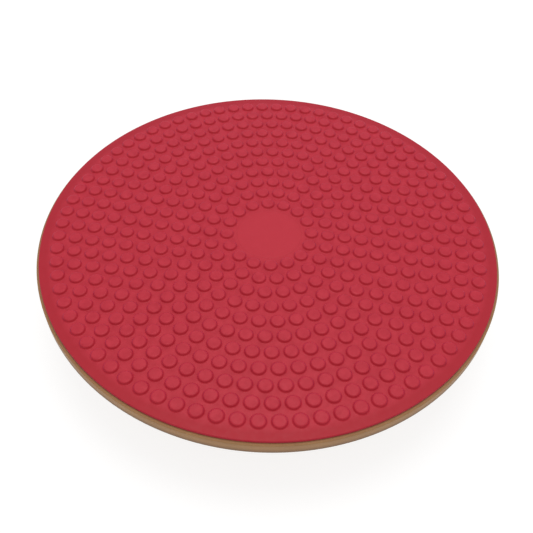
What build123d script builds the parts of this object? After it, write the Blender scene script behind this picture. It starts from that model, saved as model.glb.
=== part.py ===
from build123d import *
from math import sqrt
import os

# Wobble board for balance training: a round board with a nubbed rubber mat
# glued on top and a moulded rocker dome screwed underneath. Millimetres, +Z up.
# The origin is on the floor, in the middle of the flat at the tip of the sole.

# --- Heights of the layers ---------------------------------------------------
BOARD_UNDERSIDE_Z = 60.0
BOARD_THICKNESS = 12.0
FILM_THICKNESS = 0.25
MAT_THICKNESS = 2.2

BOARD_TOP_Z = BOARD_UNDERSIDE_Z + BOARD_THICKNESS
MAT_UNDERSIDE_Z = BOARD_TOP_Z + FILM_THICKNESS
MAT_TOP_Z = MAT_UNDERSIDE_Z + MAT_THICKNESS

# --- Board and mat -----------------------------------------------------------
BOARD_DIAMETER = 400.0
BOARD_TOP_ROUND = 1.0
BOARD_BOTTOM_ROUND = 2.5
MAT_DIAMETER = 395.5
MAT_EDGE_ROUND = 0.6
FILM_DIAMETER = 392.0

# --- Nubs of the mat: rings of nubs around a plain centre --------------------
RING_COUNT = 11
FIRST_RING_RADIUS = 37.2
RING_PITCH = 14.55
FIRST_RING_NUBS = 16
EXTRA_NUBS_PER_RING = 6
NUB_BASE_DIAMETER = 12.4
NUB_SHOULDER_DIAMETER = 10.8
NUB_TOP_DIAMETER = 8.6
NUB_HEIGHT = 2.1
NUB_SHOULDER_HEIGHT = 1.3

# --- Rocker dome: a ribbed shell that closes against the board ---------------
ROLLING_RADIUS = 86.5
SOLE_FLAT_DIAMETER = 20.0
SOLE_PROUD = 1.5
DOME_WALL = 4.5
FLANGE_DIAMETER = 196.0
FLANGE_THICKNESS = 6.0
FLANGE_EDGE_ROUND = 2.0
FLANGE_ROOT_ROUND = 4.0
RIB_COUNT = 12
RIB_THICKNESS = 2.5
RIB_ROOT_DEPTH = 1.0
RING_RIB_DIAMETER = 92.0
HUB_DIAMETER = 18.0
HUB_BORE = 10.0

SPHERE_CENTRE_Z = sqrt(ROLLING_RADIUS**2 - (SOLE_FLAT_DIAMETER / 2) ** 2)
DOME_RADIUS = ROLLING_RADIUS - SOLE_PROUD
CAVITY_RADIUS = DOME_RADIUS - DOME_WALL
FLANGE_UNDERSIDE_Z = BOARD_UNDERSIDE_Z - FLANGE_THICKNESS

# --- Rubber sole: a cap in a pocket at the tip of the dome -------------------
SOLE_DIAMETER = 84.0
POCKET_DEPTH = 2.0
POCKET_EDGE_ROUND = 0.5
SOLE_EDGE_ROUND = 0.8
GROOVE_ROUND = 0.9
GROOVE_DIAMETERS = (32.0, 44.0, 56.0, 68.0)
PEG_COUNT = 4
PEG_TILT = 20.0
PEG_DIAMETER = 6.0
PEG_HEAD_DIAMETER = 9.0
PEG_HEAD_HEIGHT = 3.0
FIT_GAP = 0.05

POCKET_FLOOR_RADIUS = DOME_RADIUS - POCKET_DEPTH

# --- Fasteners: button-head screws up into tee nuts --------------------------
SCREW_COUNT = 6
SCREW_CIRCLE_RADIUS = 88.0
SCREW_DIAMETER = 5.0
SCREW_LENGTH = 16.0
SCREW_TIP_CHAMFER = 0.6
SCREW_CLEARANCE_HOLE = 5.5
HEAD_DIAMETER = 9.5
HEAD_HEIGHT = 2.75
HEAD_ROUND = 2.2
SOCKET_ACROSS_FLATS = 3.0
SOCKET_DEPTH = 1.6
WASHER_DIAMETER = 11.0
WASHER_BORE = 5.3
WASHER_THICKNESS = 1.0
SPOT_FACE_DIAMETER = 12.0
SPOT_FACE_DEPTH = 1.2
TEE_FLANGE_DIAMETER = 17.0
TEE_FLANGE_THICKNESS = 1.2
TEE_BARREL_DIAMETER = 6.5
TEE_BARREL_LENGTH = 8.0
PRONG_COUNT = 4
PRONG_WIDTH = 2.6
PRONG_LENGTH = 5.0
PRONG_THICKNESS = 1.0

WASHER_SEAT_Z = FLANGE_UNDERSIDE_Z + SPOT_FACE_DEPTH
HEAD_SEAT_Z = WASHER_SEAT_Z - WASHER_THICKNESS

# How far a cutting tool runs past the face that it opens.
OVERRUN = 2.0

# How far a cubic curve's handles reach, in radii, when it draws a quarter circle.
QUARTER_HANDLE = 0.5523


# --- Shared helpers ----------------------------------------------------------
def disc(diameter, bottom, top):
    """An upright cylinder on the Z axis between two heights."""
    return Pos(0, 0, (bottom + top) / 2) * Cylinder(diameter / 2, top - bottom)


def ball(radius):
    """A ball around the centre of the rolling surface."""
    return Pos(0, 0, SPHERE_CENTRE_Z) * Sphere(radius)


def turned(profile):
    """The solid that a profile of (distance from the axis, height) sweeps out."""
    return revolve(Plane.XZ * profile, Axis.Z)


def on_ball(radius, distance):
    """The point on the lower half of a ball at a distance from the Z axis."""
    return distance, SPHERE_CENTRE_Z - sqrt(radius**2 - distance**2)


def ball_arc(radius, start, end):
    """The outline of a ball from one distance from the Z axis to another."""
    middle = on_ball(radius, (start + end) / 2)
    return ThreePointArc(on_ball(radius, start), middle, on_ball(radius, end))


def round_corner(profile, corner, radius):
    return fillet(profile.vertices().sort_by_distance(corner)[0], radius)


def quarter_round(start, corner, end):
    """A quarter circle as a cubic curve, which meshes evenly around a wide rim."""
    start, corner, end = Vector(start), Vector(corner), Vector(end)
    leaving = start + (corner - start) * QUARTER_HANDLE
    arriving = end + (corner - end) * QUARTER_HANDLE
    return Bezier(start, leaving, arriving, end)


def even_angles(count):
    return [step * 360 / count for step in range(count)]


def around(angle, distance):
    """A place on a circle around the Z axis, at height zero."""
    return Rot(0, 0, angle) * Pos(distance, 0, 0)


def screw_places():
    return [around(angle, SCREW_CIRCLE_RADIUS) for angle in even_angles(SCREW_COUNT)]


def rims_at(shape, height):
    """The shape's round edges at one height, smallest first."""
    rims = shape.edges().filter_by(GeomType.CIRCLE)
    level = rims.filter_by_position(Axis.Z, height - FIT_GAP, height + FIT_GAP)
    return level.sort_by(SortBy.RADIUS)


# --- Mat, film and board -----------------------------------------------------
def nub_places():
    """Every nub of the mat; each ring has a gap between two nubs on the X axis."""
    places = []
    for ring in range(RING_COUNT):
        radius = FIRST_RING_RADIUS + ring * RING_PITCH
        nubs = FIRST_RING_NUBS + ring * EXTRA_NUBS_PER_RING
        half_step = 180 / nubs
        places += [around(angle + half_step, radius) for angle in even_angles(nubs)]
    return places


def make_nub():
    """A low round stud with a sloping side and a bevelled shoulder."""
    outline = Polyline(
        (0, 0),
        (NUB_BASE_DIAMETER / 2, 0),
        (NUB_SHOULDER_DIAMETER / 2, NUB_SHOULDER_HEIGHT),
        (NUB_TOP_DIAMETER / 2, NUB_HEIGHT),
        (0, NUB_HEIGHT),
        (0, 0),
    )
    return turned(make_face(outline))


def make_standing_mat():
    sheet = disc(MAT_DIAMETER, MAT_UNDERSIDE_Z, MAT_TOP_Z)
    sheet = fillet(rims_at(sheet, MAT_TOP_Z), MAT_EDGE_ROUND)
    nub = Pos(0, 0, MAT_TOP_Z) * make_nub()
    return sheet + [place * nub for place in nub_places()]


def make_adhesive_film():
    return disc(FILM_DIAMETER, BOARD_TOP_Z, MAT_UNDERSIDE_Z)


def make_board(nuts):
    """The board, with the tee nuts let in flush and the screw holes drilled through."""
    edge = BOARD_DIAMETER / 2
    bottom_flat = (edge - BOARD_BOTTOM_ROUND, BOARD_UNDERSIDE_Z)
    side_bottom = (edge, BOARD_UNDERSIDE_Z + BOARD_BOTTOM_ROUND)
    side_top = (edge, BOARD_TOP_Z - BOARD_TOP_ROUND)
    top_flat = (edge - BOARD_TOP_ROUND, BOARD_TOP_Z)
    outline = [
        Line((0, BOARD_UNDERSIDE_Z), bottom_flat),
        quarter_round(bottom_flat, (edge, BOARD_UNDERSIDE_Z), side_bottom),
        Line(side_bottom, side_top),
        quarter_round(side_top, (edge, BOARD_TOP_Z), top_flat),
        Line(top_flat, (0, BOARD_TOP_Z)),
        Line((0, BOARD_TOP_Z), (0, BOARD_UNDERSIDE_Z)),
    ]
    board = turned(make_face(outline))
    hole = disc(TEE_BARREL_DIAMETER, BOARD_UNDERSIDE_Z - OVERRUN, BOARD_TOP_Z + OVERRUN)
    return board - [place * hole for place in screw_places()] - nuts


# --- Fasteners ---------------------------------------------------------------
def make_tee_nut():
    """A four-prong tee nut whose flange is flush with the top of the board."""
    flange_underside = BOARD_TOP_Z - TEE_FLANGE_THICKNESS
    barrel_bottom = flange_underside - TEE_BARREL_LENGTH
    prong_outline = Polyline(
        (-PRONG_WIDTH / 2, flange_underside),
        (PRONG_WIDTH / 2, flange_underside),
        (0, flange_underside - PRONG_LENGTH),
        (-PRONG_WIDTH / 2, flange_underside),
    )
    prong = extrude(Plane.XZ * make_face(prong_outline), PRONG_THICKNESS)
    prong = Pos(0, TEE_FLANGE_DIAMETER / 2 - PRONG_THICKNESS / 2, 0) * prong
    flange = disc(TEE_FLANGE_DIAMETER, flange_underside, BOARD_TOP_Z)
    barrel = disc(TEE_BARREL_DIAMETER, barrel_bottom, flange_underside)
    thread = disc(SCREW_DIAMETER, barrel_bottom - OVERRUN, BOARD_TOP_Z + OVERRUN)
    prongs = [Rot(0, 0, angle) * prong for angle in even_angles(PRONG_COUNT)]
    return flange + barrel + prongs - thread


def make_screw():
    """A button-head screw with a hexagon socket, head down."""
    head_bottom = HEAD_SEAT_Z - HEAD_HEIGHT
    head = disc(HEAD_DIAMETER, head_bottom, HEAD_SEAT_Z)
    head = fillet(rims_at(head, head_bottom), HEAD_ROUND)
    socket = RegularPolygon(SOCKET_ACROSS_FLATS / 2, 6, major_radius=False)
    head -= Pos(0, 0, head_bottom) * extrude(socket, SOCKET_DEPTH)
    tip = HEAD_SEAT_Z + SCREW_LENGTH
    shank = disc(SCREW_DIAMETER - 2 * FIT_GAP, HEAD_SEAT_Z, tip)
    return head + chamfer(rims_at(shank, tip), SCREW_TIP_CHAMFER)


def make_washer():
    washer = disc(WASHER_DIAMETER, HEAD_SEAT_Z, WASHER_SEAT_Z)
    return washer - disc(WASHER_BORE, HEAD_SEAT_Z - OVERRUN, WASHER_SEAT_Z + OVERRUN)


def at_each_screw(fastener):
    return Compound([place * fastener for place in screw_places()])


# --- Rocker dome and its sole ------------------------------------------------
def peg_places():
    """Places at the sphere's centre whose Z axis looks out along one peg of the sole."""
    places = []
    for angle in even_angles(PEG_COUNT):
        turn = Rot(0, 0, angle + 180 / PEG_COUNT)
        places.append(Pos(0, 0, SPHERE_CENTRE_Z) * turn * Rot(0, 180 - PEG_TILT, 0))
    return places


def make_dome_shell():
    """The outside of the dome with its sole pocket and flange, and an even wall inside."""
    pocket = SOLE_DIAMETER / 2 + FIT_GAP
    flange = FLANGE_DIAMETER / 2
    root = sqrt(DOME_RADIUS**2 - (SPHERE_CENTRE_Z - FLANGE_UNDERSIDE_Z) ** 2)
    mouth = sqrt(CAVITY_RADIUS**2 - (SPHERE_CENTRE_Z - BOARD_UNDERSIDE_Z) ** 2)
    outline = [
        ball_arc(POCKET_FLOOR_RADIUS, 0, pocket),
        Line(on_ball(POCKET_FLOOR_RADIUS, pocket), on_ball(DOME_RADIUS, pocket)),
        ball_arc(DOME_RADIUS, pocket, root),
        Line((root, FLANGE_UNDERSIDE_Z), (flange, FLANGE_UNDERSIDE_Z)),
        Line((flange, FLANGE_UNDERSIDE_Z), (flange, BOARD_UNDERSIDE_Z)),
        Line((flange, BOARD_UNDERSIDE_Z), (mouth, BOARD_UNDERSIDE_Z)),
        ball_arc(CAVITY_RADIUS, mouth, 0),
        Line(on_ball(CAVITY_RADIUS, 0), on_ball(POCKET_FLOOR_RADIUS, 0)),
    ]
    profile = make_face(outline)
    profile = round_corner(profile, on_ball(DOME_RADIUS, pocket), POCKET_EDGE_ROUND)
    profile = round_corner(profile, (root, FLANGE_UNDERSIDE_Z), FLANGE_ROOT_ROUND)
    profile = round_corner(profile, (flange, FLANGE_UNDERSIDE_Z), FLANGE_EDGE_ROUND)
    return turned(profile)


def make_dome_ribs():
    """Radial ribs, a ring rib and a hub, all level with the underside of the board."""
    ring_bore = RING_RIB_DIAMETER - 2 * RIB_THICKNESS
    beam = Box(2 * DOME_RADIUS, RIB_THICKNESS, BOARD_UNDERSIDE_Z)
    beam = Pos(0, 0, BOARD_UNDERSIDE_Z / 2) * beam
    beams = [Rot(0, 0, angle / 2) * beam for angle in even_angles(RIB_COUNT // 2)]
    ring = disc(RING_RIB_DIAMETER, 0, BOARD_UNDERSIDE_Z) - disc(ring_bore, 0, BOARD_UNDERSIDE_Z)
    hub = disc(HUB_DIAMETER, 0, BOARD_UNDERSIDE_Z)
    hub_hole = disc(HUB_BORE, 0, BOARD_UNDERSIDE_Z)
    return (ring + hub + beams - hub_hole) & ball(CAVITY_RADIUS + RIB_ROOT_DEPTH)


def make_rocker_dome():
    """The ribbed shell with its peg holes and spot-faced screw holes."""
    peg_hole = disc(PEG_DIAMETER + 2 * FIT_GAP, CAVITY_RADIUS - OVERRUN, DOME_RADIUS)
    spot_face = disc(SPOT_FACE_DIAMETER, FLANGE_UNDERSIDE_Z - OVERRUN, WASHER_SEAT_Z)
    screw_hole = disc(SCREW_CLEARANCE_HOLE, WASHER_SEAT_Z, BOARD_UNDERSIDE_Z + OVERRUN)
    dome = make_dome_shell() + make_dome_ribs()
    dome -= [place * peg_hole for place in peg_places()]
    return dome - [place * (spot_face + screw_hole) for place in screw_places()]


def make_sole_cap():
    """A rubber cap with a flat at its tip, a rounded rim and round-bottomed grooves."""
    rim = SOLE_DIAMETER / 2
    flat = SOLE_FLAT_DIAMETER / 2
    inner_radius = POCKET_FLOOR_RADIUS + FIT_GAP
    outline = [
        Line((0, 0), (flat, 0)),
        ball_arc(ROLLING_RADIUS, flat, rim),
        Line(on_ball(ROLLING_RADIUS, rim), on_ball(inner_radius, rim)),
        ball_arc(inner_radius, rim, 0),
        Line(on_ball(inner_radius, 0), (0, 0)),
    ]
    profile = round_corner(make_face(outline), on_ball(ROLLING_RADIUS, rim), SOLE_EDGE_ROUND)
    for diameter in GROOVE_DIAMETERS:
        profile -= Pos(*on_ball(ROLLING_RADIUS, diameter / 2)) * Circle(GROOVE_ROUND)
    return turned(profile)


def make_rocker_sole():
    """The grooved cap with mushroom pegs that hold it through the dome's wall."""
    head = disc(PEG_HEAD_DIAMETER, CAVITY_RADIUS - PEG_HEAD_HEIGHT, DOME_RADIUS)
    head &= Sphere(CAVITY_RADIUS - FIT_GAP)
    shaft = disc(PEG_DIAMETER, CAVITY_RADIUS - PEG_HEAD_HEIGHT, DOME_RADIUS - FIT_GAP)
    return make_sole_cap() + [place * (head + shaft) for place in peg_places()]


# --- Files -------------------------------------------------------------------
def main():
    os.makedirs("parts", exist_ok=True)
    tee_nuts = at_each_screw(make_tee_nut())
    parts = {
        "standing_mat": make_standing_mat(),
        "mat_adhesive_film": make_adhesive_film(),
        "board_disc": make_board(tee_nuts),
        "tee_nuts": tee_nuts,
        "rocker_dome": make_rocker_dome(),
        "rocker_sole": make_rocker_sole(),
        "dome_washers": at_each_screw(make_washer()),
        "dome_screws": at_each_screw(make_screw()),
    }
    for name, shape in parts.items():
        export_step(shape, f"parts/{name}.step")


main()
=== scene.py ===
from math import cos, pi, radians, sin, tan

import bpy
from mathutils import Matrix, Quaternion, Vector
from mathutils.geometry import delaunay_2d_cdt


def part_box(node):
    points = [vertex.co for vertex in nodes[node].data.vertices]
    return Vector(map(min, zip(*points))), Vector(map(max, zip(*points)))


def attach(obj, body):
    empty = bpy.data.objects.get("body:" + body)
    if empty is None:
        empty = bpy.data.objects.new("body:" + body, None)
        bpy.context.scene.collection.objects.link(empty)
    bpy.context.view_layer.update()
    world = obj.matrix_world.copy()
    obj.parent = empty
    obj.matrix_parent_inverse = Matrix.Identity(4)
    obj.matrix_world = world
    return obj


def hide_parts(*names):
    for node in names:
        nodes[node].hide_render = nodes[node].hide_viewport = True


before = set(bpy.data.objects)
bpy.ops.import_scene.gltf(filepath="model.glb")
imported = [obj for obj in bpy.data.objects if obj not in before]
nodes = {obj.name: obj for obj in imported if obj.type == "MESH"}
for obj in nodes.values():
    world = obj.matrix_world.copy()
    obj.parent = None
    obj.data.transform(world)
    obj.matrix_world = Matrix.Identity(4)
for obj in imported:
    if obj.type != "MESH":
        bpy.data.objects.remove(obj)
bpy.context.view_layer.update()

MM = 0.001

# --- The mat's pattern, as in the CAD model ----------------------------------
RING_COUNT = 11
FIRST_RING_RADIUS = 37.2 * MM
RING_PITCH = 14.55 * MM
FIRST_RING_NUBS = 16
EXTRA_NUBS_PER_RING = 6
NUB_SEGMENTS = 24
NUB_HEIGHT = 2.1 * MM
NUB_MIDDLE_RADIUS = 5.57 * MM
NUB_LEAN = 62.0
NUB_SHOULDER_ROUND = 1.45 * MM
NUB_FOOT_ROUND = 1.2 * MM
MAT_EDGE_ROUND = 0.6 * MM
MAT_EDGE_CORNER_CUT = 0.18 * MM
MAT_EDGE_UNDERCUT = 0.05 * MM
MAT_SEGMENTS = 360

# --- The mat's colouring: radii on the mat, widths of its border, heights on a nub for the painted shade down its sides
PLAIN_CENTRE_RADIUS = 29 * MM
CENTRE_LINE_RADIUS = 28.6 * MM
BORDER_START = 11 * MM
BORDER_FULL = 6 * MM
SIDE_BOTTOM = (0.04 * MM, 0.35 * MM)
SIDE_TOP = (1.10 * MM, 1.85 * MM)

# --- Camera, from the middle of the mat's top --------------------------------
CAMERA_DISTANCE = 0.6037
CAMERA_ELEVATION = 46.72
CAMERA_AZIMUTH = 7.8
CAMERA_ROLL = -2.2
CAMERA_LENS = 46.2
SENSOR_WIDTH = 36.0
AIM_AHEAD = 0.0377
AIM_ASIDE = 0.004

# --- Light and floor ---------------------------------------------------------
KEY_PLACE = (0.0, 0.3, 1.9)
KEY_SIZE = 1.2
KEY_POWER = 13.5
SURROUND_STRENGTH = 0.72
FLOOR_REACH = 6.0
FLOOR_GREY = 0.25
FLOOR_GLOW = 0.8


# --- Mesh helpers ------------------------------------------------------------
def ring_points(radius, height, count, centre=(0.0, 0.0)):
    step = 2 * pi / count
    return [
        (centre[0] + radius * cos(i * step), centre[1] + radius * sin(i * step), height)
        for i in range(count)
    ]


class Skin:
    """A mesh under construction whose corners have exact normals."""

    def __init__(self):
        self.points = []
        self.normals = []
        self.faces = []
        self.flat = {}

    def ring(self, radius, height, lean, count, centre=(0.0, 0.0)):
        """Adds a ring whose normals lean out from straight up by an angle in degrees."""
        first = len(self.points)
        step = 2 * pi / count
        self.points += ring_points(radius, height, count, centre)
        out, up = sin(radians(lean)), cos(radians(lean))
        self.normals += [(out * cos(i * step), out * sin(i * step), up) for i in range(count)]
        return list(range(first, first + count))

    def band(self, lower, upper):
        """Joins two rings, the outer or lower one first."""
        for i, here in enumerate(lower):
            after = lower[(i + 1) % len(lower)]
            self.faces.append((here, after, upper[(i + 1) % len(upper)], upper[i]))

    def cap(self, ring, normal):
        """Closes a ring with one face that is flat up to its corners."""
        self.flat[len(self.faces)] = normal
        self.faces.append(tuple(ring))

    def make(self, name):
        mesh = bpy.data.meshes.new(name)
        mesh.from_pydata(self.points, [], self.faces)
        mesh.shade_smooth()
        normals = []
        for face in mesh.polygons:
            flat = self.flat.get(face.index)
            normals += [flat or self.normals[v] for v in face.vertices]
        mesh.normals_split_custom_set(normals)
        piece = bpy.data.objects.new(name, mesh)
        bpy.context.scene.collection.objects.link(piece)
        return piece


# --- Mat ---------------------------------------------------------------------
# How the triangulation fills an outline that has holes, and when two points are one.
INSIDE_WITH_HOLES = 3
SAME_POINT = 1e-9


def nub_centres():
    for ring in range(RING_COUNT):
        radius = FIRST_RING_RADIUS + ring * RING_PITCH
        count = FIRST_RING_NUBS + ring * EXTRA_NUBS_PER_RING
        for nub in range(count):
            angle = (nub + 0.5) * 2 * pi / count
            yield radius * cos(angle), radius * sin(angle)


def nub_profile():
    """(radius, height above the sheet, lean of the surface from straight up), foot first."""
    run = NUB_HEIGHT / 2 / tan(radians(NUB_LEAN))
    reach = tan(radians(NUB_LEAN / 2))
    foot = NUB_MIDDLE_RADIUS + run + NUB_FOOT_ROUND * reach
    crown = NUB_MIDDLE_RADIUS - run - NUB_SHOULDER_ROUND * reach
    profile = []
    for lean in (0, NUB_LEAN / 2, NUB_LEAN):
        drop = NUB_FOOT_ROUND * (1 - cos(radians(lean)))
        profile.append((foot - NUB_FOOT_ROUND * sin(radians(lean)), drop, lean))
    for lean in (NUB_LEAN, NUB_LEAN * 2 / 3, NUB_LEAN / 3, 0):
        drop = NUB_SHOULDER_ROUND * (1 - cos(radians(lean)))
        profile.append((crown + NUB_SHOULDER_ROUND * sin(radians(lean)), NUB_HEIGHT - drop, lean))
    return profile


def fill_sheet(skin, rim, holes):
    """Fills the flat sheet between its rim and the feet of the nubs with triangles."""
    loops = [rim] + holes
    used = [v for loop in loops for v in loop]
    place = {v: i for i, v in enumerate(used)}
    flat = [Vector(skin.points[v][:2]) for v in used]
    edges = []
    for loop in loops:
        after = loop[1:] + loop[:1]
        edges += [(place[v], place[w]) for v, w in zip(loop, after)]
    triangles = delaunay_2d_cdt(flat, edges, [], INSIDE_WITH_HOLES, SAME_POINT)[2]
    skin.faces += [tuple(used[i] for i in triangle) for triangle in triangles]


def make_mat():
    low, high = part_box("standing_mat")
    radius = high.x
    top = high.z - NUB_HEIGHT
    skin = Skin()
    feet = []
    for centre in nub_centres():
        rings = [
            skin.ring(r, top + h, lean, NUB_SEGMENTS, centre)
            for r, h, lean in nub_profile()
        ]
        for lower, upper in zip(rings, rings[1:]):
            skin.band(lower, upper)
        skin.cap(rings[-1], (0, 0, 1))
        feet.append(rings[0])
    edge_profile = [
        (radius - MAT_EDGE_UNDERCUT, low.z, 92),
        (radius, top - MAT_EDGE_ROUND, 88),
        (radius - MAT_EDGE_CORNER_CUT, top - MAT_EDGE_CORNER_CUT, 45),
        (radius - MAT_EDGE_ROUND, top, 0),
    ]
    rings = [skin.ring(r, h, lean, MAT_SEGMENTS) for r, h, lean in edge_profile]
    for lower, upper in zip(rings, rings[1:]):
        skin.band(lower, upper)
    skin.cap(rings[0][::-1], (0, 0, -1))
    fill_sheet(skin, rings[-1], feet)
    return skin.make("standing_mat_nubbed")


# --- Materials ---------------------------------------------------------------
class Surface:
    """A procedural material, built up around one Principled shader."""

    def __init__(self, name, **settings):
        self.material = bpy.data.materials.new(name)
        self.material.use_nodes = True
        self.tree = self.material.node_tree
        self.shader = self.tree.nodes["Principled BSDF"]
        for socket, value in settings.items():
            self.shader.inputs[socket.replace("_", " ")].default_value = value

    def add(self, kind, inputs=None, **properties):
        node = self.tree.nodes.new("ShaderNode" + kind)
        for key, value in properties.items():
            setattr(node, key, value)
        for key, value in (inputs or {}).items():
            self.feed(node.inputs[key], value)
        return node

    def feed(self, socket, value):
        if isinstance(value, bpy.types.NodeSocket):
            self.tree.links.new(value, socket)
        else:
            socket.default_value = value

    def place(self):
        return self.add("TexCoord").outputs["Object"]

    def noise(self, size, detail=2.0, rough=0.5, where=None):
        """Noise from 0 to 1 whose features are about as large as size, in metres."""
        node = self.add(
            "TexNoise",
            {"Vector": where or self.place(), "Scale": 1 / size, "Detail": detail, "Roughness": rough},
        )
        return node.outputs["Fac"]

    def remap(self, value, low, high, to_low=0.0, to_high=1.0):
        node = self.add(
            "MapRange",
            {"Value": value, "From Min": low, "From Max": high, "To Min": to_low, "To Max": to_high},
        )
        return node.outputs["Result"]

    def math(self, operation, one, other=0.0):
        return self.add("Math", {0: one, 1: other}, operation=operation).outputs["Value"]

    def axes(self):
        parts = self.add("SeparateXYZ", {"Vector": self.place()})
        return parts.outputs["X"], parts.outputs["Y"], parts.outputs["Z"]

    def vector(self, x, y, z):
        return self.add("CombineXYZ", {"X": x, "Y": y, "Z": z}).outputs["Vector"]

    def radius(self, x, y):
        squares = self.math("ADD", self.math("MULTIPLY", x, x), self.math("MULTIPLY", y, y))
        return self.math("SQRT", squares)

    def mix(self, share, one, other):
        """A colour between two others; share 0 gives the first."""
        node = self.add("Mix", data_type="RGBA")
        self.feed(node.inputs[0], share)
        self.feed(node.inputs[6], one)
        self.feed(node.inputs[7], other)
        return node.outputs[2]

    def bump(self, height, depth, under=None):
        """Bump whose full height is depth, in metres, laid over another bump."""
        inputs = {"Height": height, "Distance": depth, "Strength": 1.0}
        if under:
            inputs["Normal"] = under
        return self.add("Bump", inputs).outputs["Normal"]


def colour(red, green, blue):
    return (red, green, blue, 1.0)


def mat_rubber(sheet_top, edge_radius):
    """Moulded red rubber, mottled, with painted shade in deep red down the sides of the nubs."""
    dull, bright = colour(0.425, 0.0190, 0.0340), colour(0.505, 0.0300, 0.0480)
    centre_red, line_red = colour(0.490, 0.0280, 0.0430), colour(0.30, 0.0100, 0.0160)
    border_red, painted_side_shade_red = colour(0.379, 0.0133, 0.0226), colour(0.400, 0.0080, 0.0140)
    grain_red = colour(0.36, 0.014, 0.022)
    rubber = Surface(
        "mat_rubber", Roughness=0.42, Specular_IOR_Level=0.15,
        Sheen_Weight=0.11, Sheen_Roughness=0.5, Sheen_Tint=colour(0.7, 0.35, 1.0),
    )
    x, y, z = rubber.axes()
    distance = rubber.radius(x, y)
    clouds = rubber.remap(rubber.noise(7 * MM, 4, 0.6), 0.3, 0.7)
    base = rubber.mix(clouds, dull, bright)
    centre = rubber.remap(distance, PLAIN_CENTRE_RADIUS, PLAIN_CENTRE_RADIUS + 4 * MM, 0.8, 0.0)
    base = rubber.mix(centre, base, centre_red)
    off_line = rubber.math("ABSOLUTE", rubber.math("SUBTRACT", distance, CENTRE_LINE_RADIUS))
    line = rubber.remap(off_line, 0.3 * MM, 1.0 * MM, 1.0, 0.0)
    base = rubber.mix(rubber.math("MULTIPLY", line, 0.12), base, line_red)
    border = rubber.remap(distance, edge_radius - BORDER_START, edge_radius - BORDER_FULL, 0.0, 0.8)
    base = rubber.mix(border, base, border_red)
    # Painted shade: the sides of each nub, between these heights above the sheet, are tinted a darker
    # deep red to stand in for the shade that falls on them.
    climbing = rubber.remap(z, sheet_top + SIDE_BOTTOM[0], sheet_top + SIDE_BOTTOM[1])
    levelling = rubber.remap(z, sheet_top + SIDE_TOP[0], sheet_top + SIDE_TOP[1], 1.0, 0.0)
    side_shade = rubber.math("MULTIPLY", climbing, levelling)
    base = rubber.mix(rubber.math("MULTIPLY", side_shade, 0.40), base, painted_side_shade_red)
    grain = rubber.noise(0.55 * MM, 3, 0.6)
    base = rubber.mix(rubber.remap(grain, 0.35, 0.65, 0.20, 0.0), base, grain_red)
    rubber.feed(rubber.shader.inputs["Base Color"], base)
    patches = rubber.noise(5 * MM, 4, 0.6)
    rubber.feed(rubber.shader.inputs["Roughness"], rubber.remap(patches, 0.3, 0.7, 0.34, 0.48))
    groove = rubber.bump(rubber.math("SUBTRACT", 1.0, line), 0.08 * MM)
    swell = rubber.bump(rubber.noise(14 * MM), 0.10 * MM, groove)
    rubber.feed(rubber.shader.inputs["Normal"], rubber.bump(grain, 0.035 * MM, swell))
    return rubber.material


def fibreboard(low, high):
    """Sealed fibreboard: flecked and layered at the edge, smoother on its faces."""
    core_dark, core_pale = colour(0.300, 0.150, 0.058), colour(0.425, 0.235, 0.098)
    skin_dark, skin_pale = colour(0.280, 0.140, 0.054), colour(0.365, 0.196, 0.080)
    fleck_brown, cloud_brown = colour(0.13, 0.060, 0.025), colour(0.200, 0.098, 0.040)
    painted_shade_brown = colour(0.085, 0.045, 0.022)
    board = Surface("fibreboard", Roughness=0.55, Specular_IOR_Level=0.3)
    x, y, z = board.axes()
    edge_radius = (high.x - low.x) / 2
    middle, half = (low.z + high.z) / 2, (high.z - low.z) / 2
    along = board.math("MULTIPLY", board.math("ARCTAN2", y, x), edge_radius)
    rim = board.vector(along, board.radius(x, y), board.math("MULTIPLY", z, 2.5))
    fibres = board.noise(1.1 * MM, 4, 0.65, rim)
    flecks = board.noise(0.45 * MM, 2, 0.5, rim)
    off_middle = board.math("ABSOLUTE", board.math("SUBTRACT", z, middle))
    dense = board.remap(off_middle, 0.35 * half, 0.95 * half)
    core = board.mix(board.remap(fibres, 0.3, 0.7), core_dark, core_pale)
    skin = board.mix(board.remap(fibres, 0.3, 0.7), skin_dark, skin_pale)
    base = board.mix(dense, core, skin)
    base = board.mix(board.remap(flecks, 0.58, 0.72, 0.0, 0.45), base, fleck_brown)
    clouds = board.remap(board.noise(16 * MM, 5, 0.65), 0.32, 0.68, 0.0, 0.28)
    base = board.mix(clouds, base, cloud_brown)
    # Painted shade: the outside edge grows darker towards its bottom, standing in for the shade under
    # the rounded lower edge.
    lower_edge_shade = board.remap(z, low.z + 1.5 * MM, low.z + 7.5 * MM, 0.72, 0.0)
    outside = board.remap(board.radius(x, y), edge_radius - 2.4 * MM, edge_radius - 1.4 * MM)
    base = board.mix(board.math("MULTIPLY", lower_edge_shade, outside), base, painted_shade_brown)
    board.feed(board.shader.inputs["Base Color"], base)
    board.feed(board.shader.inputs["Roughness"], board.remap(fibres, 0.3, 0.7, 0.46, 0.66))
    upright = board.vector(along, 0.0, board.math("MULTIPLY", z, 0.08))
    chatter = board.bump(board.noise(1.6 * MM, 2, 0.5, upright), 0.03 * MM)
    board.feed(board.shader.inputs["Normal"], board.bump(fibres, 0.05 * MM, chatter))
    return board.material


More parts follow.
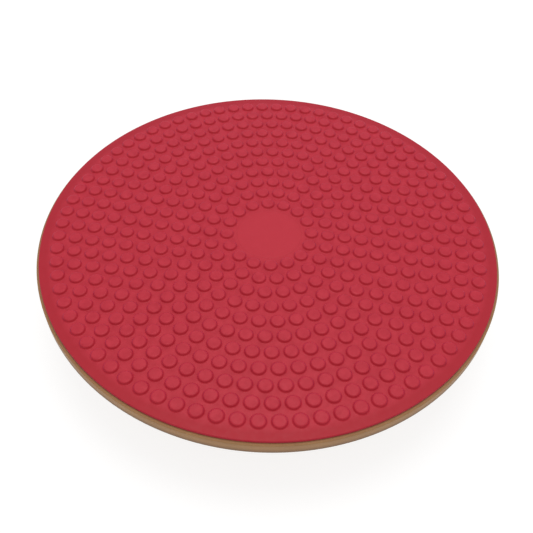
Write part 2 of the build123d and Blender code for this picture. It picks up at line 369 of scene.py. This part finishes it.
def dome_plastic(low, high):
    """Black plastic with a spark-eroded texture, scuffed paler where it rolls."""
    black, charcoal = colour(0.014, 0.014, 0.016), colour(0.026, 0.026, 0.028)
    scuffed = colour(0.085, 0.083, 0.080)
    shell = Surface("dome_plastic", Roughness=0.48)
    x, y, z = shell.axes()
    texture = shell.noise(0.5 * MM, 3, 0.6)
    scuffs = shell.noise(3 * MM, 5, 0.7, shell.vector(shell.math("MULTIPLY", x, 0.35), y, z))
    rubbed = shell.remap(z, low.z, (low.z + high.z) / 2, 0.5, 0.08)
    worn = shell.math("MULTIPLY", rubbed, shell.remap(scuffs, 0.48, 0.66))
    base = shell.mix(shell.remap(texture, 0.35, 0.65), black, charcoal)
    shell.feed(shell.shader.inputs["Base Color"], shell.mix(worn, base, scuffed))
    shell.feed(shell.shader.inputs["Roughness"], shell.remap(scuffs, 0.35, 0.65, 0.40, 0.58))
    shell.feed(shell.shader.inputs["Normal"], shell.bump(texture, 0.04 * MM))
    return shell.material


def sole_rubber(bottom):
    """Dark grey rubber, dusty and paler around the flat that it stands on."""
    dark, grey = colour(0.036, 0.036, 0.038), colour(0.058, 0.058, 0.060)
    dusty = colour(0.17, 0.165, 0.155)
    sole = Surface("sole_rubber", Roughness=0.8, Specular_IOR_Level=0.3)
    height = sole.axes()[2]
    grain = sole.noise(0.6 * MM, 4, 0.65)
    near_floor = sole.remap(height, bottom, bottom + 5 * MM, 0.8, 0.1)
    dust = sole.math("MULTIPLY", near_floor, sole.noise(6 * MM, 4, 0.7))
    base = sole.mix(sole.remap(grain, 0.35, 0.65), dark, grey)
    sole.feed(sole.shader.inputs["Base Color"], sole.mix(dust, base, dusty))
    sole.feed(sole.shader.inputs["Roughness"], sole.remap(grain, 0.3, 0.7, 0.68, 0.88))
    sole.feed(sole.shader.inputs["Normal"], sole.bump(grain, 0.06 * MM))
    return sole.material


def zinc_steel():
    """Bright zinc plate with faint clouding and fine rolling marks."""
    clouded, bright = colour(0.56, 0.57, 0.58), colour(0.70, 0.70, 0.68)
    zinc = Surface("zinc_steel", Roughness=0.3, Metallic=1.0)
    x, y, z = zinc.axes()
    clouds = zinc.noise(1.8 * MM, 4, 0.65)
    marks = zinc.noise(0.3 * MM, 2, 0.5, zinc.vector(x, y, zinc.math("MULTIPLY", z, 6.0)))
    base = zinc.mix(zinc.remap(clouds, 0.35, 0.65), clouded, bright)
    zinc.feed(zinc.shader.inputs["Base Color"], base)
    zinc.feed(zinc.shader.inputs["Roughness"], zinc.remap(clouds, 0.3, 0.7, 0.24, 0.40))
    zinc.feed(zinc.shader.inputs["Normal"], zinc.bump(marks, 0.01 * MM))
    return zinc.material


def adhesive():
    """Contact adhesive dried to a cloudy tan film."""
    tan_dark, tan_pale = colour(0.42, 0.37, 0.27), colour(0.55, 0.50, 0.40)
    film = Surface("adhesive", Roughness=0.5)
    clouds = film.noise(4 * MM, 4, 0.6)
    base = film.mix(film.remap(clouds, 0.35, 0.65), tan_dark, tan_pale)
    film.feed(film.shader.inputs["Base Color"], base)
    film.feed(film.shader.inputs["Normal"], film.bump(clouds, 0.05 * MM))
    return film.material


def paint(piece, material):
    piece.data.materials.clear()
    piece.data.materials.append(material)


# --- Stage -------------------------------------------------------------------
def make_camera(target):
    azimuth, elevation = radians(CAMERA_AZIMUTH), radians(CAMERA_ELEVATION)
    level = cos(elevation)
    back = Vector((sin(azimuth) * level, -cos(azimuth) * level, sin(elevation)))
    data = bpy.data.cameras.new("camera")
    data.lens = CAMERA_LENS
    data.sensor_width = SENSOR_WIDTH
    camera = bpy.data.objects.new("camera", data)
    bpy.context.scene.collection.objects.link(camera)
    camera.location = target + back * CAMERA_DISTANCE
    aim = target + Vector((AIM_ASIDE, -AIM_AHEAD, 0))
    look = (aim - camera.location).normalized()
    camera.rotation_mode = "QUATERNION"
    roll = Quaternion(look, radians(-CAMERA_ROLL))
    camera.rotation_quaternion = roll.inverted() @ look.to_track_quat("-Z", "Y")
    bpy.context.scene.camera = camera


def make_light(name, place, target, size, power):
    data = bpy.data.lights.new(name, "AREA")
    data.shape = "DISK"
    data.size = size
    data.energy = power
    light = bpy.data.objects.new(name, data)
    bpy.context.scene.collection.objects.link(light)
    light.location = place
    light.rotation_mode = "QUATERNION"
    light.rotation_quaternion = (target - Vector(place)).to_track_quat("-Z", "Y")


def make_surround(strength):
    world = bpy.data.worlds.new("studio")
    world.use_nodes = True
    background = world.node_tree.nodes["Background"]
    background.inputs["Color"].default_value = colour(1, 1, 1)
    background.inputs["Strength"].default_value = strength
    bpy.context.scene.world = world


def make_floor():
    """White paper lit from behind, which is clear from below so that the underside shows."""
    corners = [(-FLOOR_REACH, -FLOOR_REACH, 0), (FLOOR_REACH, -FLOOR_REACH, 0)]
    corners += [(FLOOR_REACH, FLOOR_REACH, 0), (-FLOOR_REACH, FLOOR_REACH, 0)]
    mesh = bpy.data.meshes.new("floor")
    mesh.from_pydata(corners, [], [(0, 1, 2, 3)])
    floor = bpy.data.objects.new("floor", mesh)
    bpy.context.scene.collection.objects.link(floor)
    white = colour(1, 1, 1)
    grey = colour(FLOOR_GREY, FLOOR_GREY, FLOOR_GREY)
    paper = Surface("floor_paper", Base_Color=grey, Roughness=0.9)
    paper.shader.inputs["Emission Color"].default_value = white
    paper.shader.inputs["Emission Strength"].default_value = FLOOR_GLOW
    clear = paper.add("BsdfTransparent", {"Color": white}).outputs["BSDF"]
    from_below = paper.add("NewGeometry").outputs["Backfacing"]
    sides = paper.add("MixShader", {0: from_below, 1: paper.shader.outputs["BSDF"], 2: clear})
    end = paper.tree.nodes["Material Output"]
    paper.feed(end.inputs["Surface"], sides.outputs["Shader"])
    paint(floor, paper.material)


# --- The object on its floor -------------------------------------------------
mat = make_mat()
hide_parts("standing_mat")
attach(mat, "root")
mat_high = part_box("standing_mat")[1]
sheet_top = mat_high.z - NUB_HEIGHT
paint(mat, mat_rubber(sheet_top, mat_high.x))
paint(nodes["board_disc"], fibreboard(*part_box("board_disc")))
paint(nodes["mat_adhesive_film"], adhesive())
paint(nodes["rocker_dome"], dome_plastic(*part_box("rocker_dome")))
paint(nodes["rocker_sole"], sole_rubber(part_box("rocker_sole")[0].z))
zinc = zinc_steel()
for name in ("tee_nuts", "dome_washers", "dome_screws"):
    paint(nodes[name], zinc)

middle = Vector((0, 0, sheet_top))
make_camera(middle)
make_floor()
make_light("key", KEY_PLACE, middle, KEY_SIZE, KEY_POWER)
make_surround(SURROUND_STRENGTH)
bpy.context.scene.view_settings.view_transform = "Standard"
